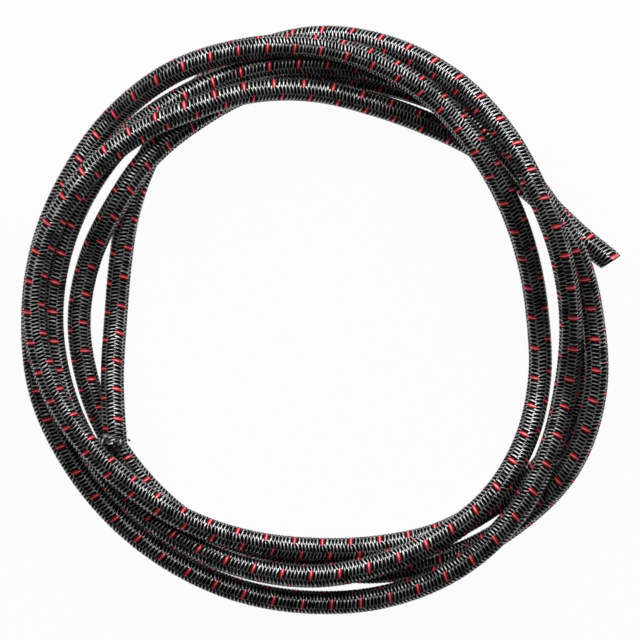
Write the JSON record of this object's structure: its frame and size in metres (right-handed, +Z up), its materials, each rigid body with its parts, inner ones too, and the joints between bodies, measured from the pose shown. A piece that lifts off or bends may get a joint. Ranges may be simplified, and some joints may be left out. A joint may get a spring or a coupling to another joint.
{
  "type": "tarp cord",
  "caption": "Loose coil of round elastic tarp cord with a braided sheath and a rubber core, bare at both ends, for lashing covers and loads.",
  "frame": {"origin": "middle of the coil's outline, on the surface that the coil lies on", "axes": "+Z up from that surface through the coil's open middle, +X towards the side where the free end sticks out, +Y towards the turns nearest to it"},
  "size_m": [0.2021, 0.1989, 0.0342],
  "materials": {
    "sheath": "glossy black braid with red tracer stitches",
    "rubber": "matt, seen only at the cut ends"
  },
  "bodies": {
    "root": {"braided_sheath": "sheath", "rubber_core": "rubber"}
  },
  "joints": []
}
